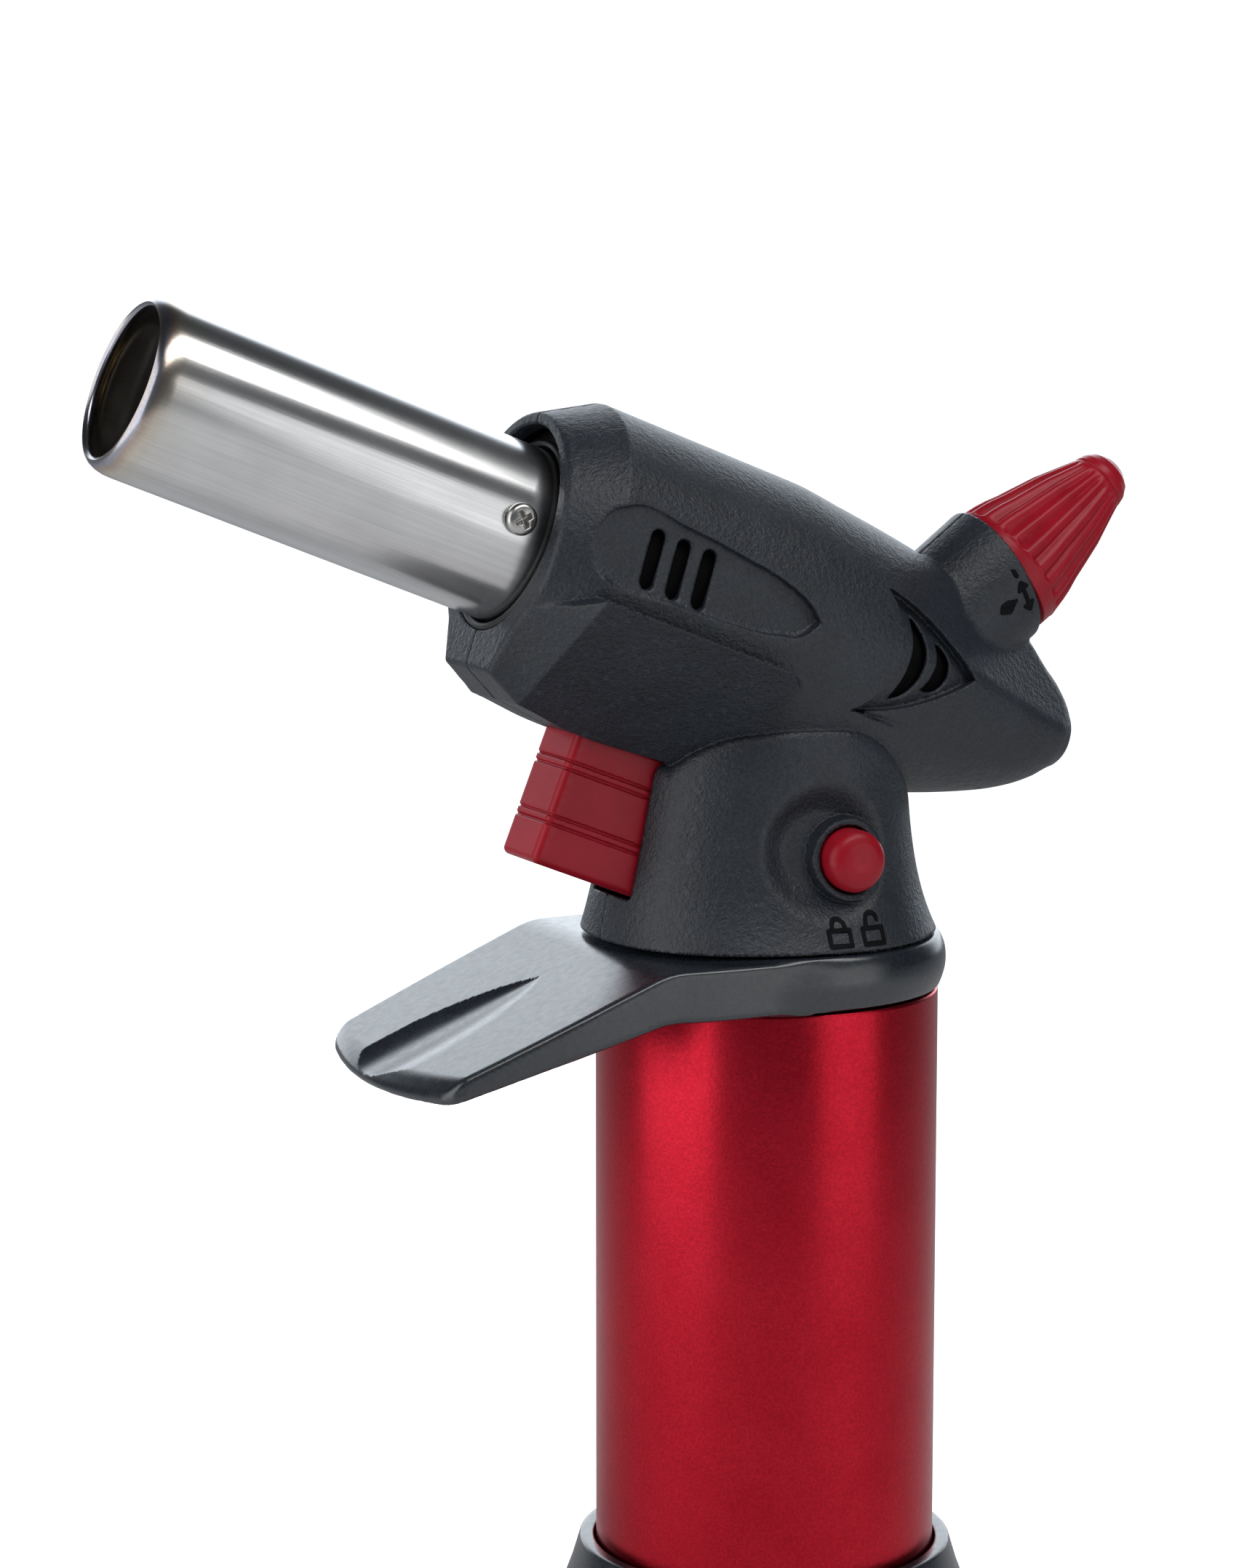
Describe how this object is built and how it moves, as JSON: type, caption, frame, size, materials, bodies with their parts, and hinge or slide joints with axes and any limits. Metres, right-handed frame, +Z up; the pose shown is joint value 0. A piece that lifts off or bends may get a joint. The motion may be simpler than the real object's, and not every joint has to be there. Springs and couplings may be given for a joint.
{
  "type": "butane torch",
  "caption": "Hand-held gas torch: red fuel tank on a wide foot, pistol-shaped black head with a steel burner tube, trigger, lock button, flame knob and finger guard.",
  "frame": {"origin": "centre of the bounding box in plan, at the underside of the foot ring", "axes": "+Z up along the tank, -X towards the flame, +Y to the torch's right-hand side"},
  "size_m": [0.1475, 0.062, 0.189],
  "materials": {
    "shell_plastic": "fine spark-textured charcoal moulding",
    "guard_black": "smooth semi-gloss black moulding",
    "collar_black": "plain black moulding",
    "tank_red": "red anodised, satin bead-blasted",
    "red_plastic": "semi-gloss dark red moulding",
    "tube_steel": "drawn stainless tube, heat tint at the mouth",
    "dark_steel": "heat-darkened",
    "screw_steel": "plated, cross recess",
    "spring_steel": "bright wire and stampings",
    "brass": "machined",
    "ceramic": "unglazed white",
    "lead_cover": "insulated lead",
    "rubber": "matte"
  },
  "bodies": {
    "handle": {"shell_left": "shell_plastic", "shell_right": "shell_plastic", "shell_screw_chin": "screw_steel", "shell_screw_tail": "screw_steel", "shell_screw_crown": "screw_steel", "shell_screw_heel": "screw_steel", "burner_tube": "tube_steel", "burner_plug": "brass", "nozzle_screw_left": "screw_steel", "nozzle_screw_right": "screw_steel", "mixing_tube": "brass", "gas_jet": "brass", "flame_holder": "dark_steel", "inner_tube": "dark_steel", "nozzle_collar": "collar_black", "electrode_insulator": "ceramic", "electrode": "dark_steel", "regulator_body": "brass", "gas_tube": "brass", "feed_tube": "brass", "igniter_body": "collar_black", "igniter_spring": "spring_steel", "ignition_lead": "lead_cover", "valve_body": "brass", "valve_cap": "brass", "valve_spring": "spring_steel", "lever_pin": "spring_steel", "lock_spring": "spring_steel", "fuel_tank": "tank_red", "tank_head": "brass", "tank_seal": "rubber", "dip_tube": "ceramic", "fill_valve_body": "brass", "fill_valve_nut": "brass", "fill_valve_spring": "spring_steel", "foot_ring": "rubber", "base_cup": "guard_black", "finger_guard": "guard_black"},
    "trigger": {"trigger": "red_plastic", "igniter_plunger": "ceramic"},
    "lever": {"valve_lever": "spring_steel"},
    "stem": {"valve_stem": "brass"},
    "knob": {"gas_knob": "red_plastic", "regulator_spindle": "brass"},
    "lock": {"lock_button": "red_plastic"},
    "filler": {"fill_valve_stem": "screw_steel"}
  },
  "joints": [
    {"name": "trigger_pull", "type": "slide", "parent": "handle", "child": "trigger", "axis": [0.9291, 0, -0.3697], "range_m": [0, 0.005], "stiffness_N_per_m": 2500, "springref_m": -0.002, "deforming": ["igniter_spring"]},
    {"name": "lever_tilt", "type": "hinge", "parent": "handle", "child": "lever", "pos_m": [0.01415, 0, 0.12322], "axis": [0, -1, 0], "range_deg": [0, 18.8]},
    {"name": "stem_lift", "type": "slide", "parent": "handle", "child": "stem", "axis": [0, 0, 1], "range_m": [0, 0.0014], "deforming": ["valve_spring"]},
    {"name": "knob_turn", "type": "hinge", "parent": "handle", "child": "knob", "pos_m": [0.05554, 0, 0.1511], "axis": [0.7944, 0, 0.6074], "range_deg": [-120, 120]},
    {"name": "lock_press", "type": "slide", "parent": "handle", "child": "lock", "axis": [0, 1, 0], "range_m": [0, 0.0025], "stiffness_N_per_m": 600, "springref_m": -0.002, "deforming": ["lock_spring"]},
    {"name": "filler_press", "type": "slide", "parent": "handle", "child": "filler", "axis": [0, 0, 1], "range_m": [0, 0.002], "stiffness_N_per_m": 1500, "springref_m": -0.002, "deforming": ["fill_valve_spring"]}
  ],
  "couplings": [
    {"joint": "lever_tilt", "follows": "trigger_pull", "rad_per_m": 65.6},
    {"joint": "stem_lift", "follows": "trigger_pull", "ratio": 0.28}
  ]
}
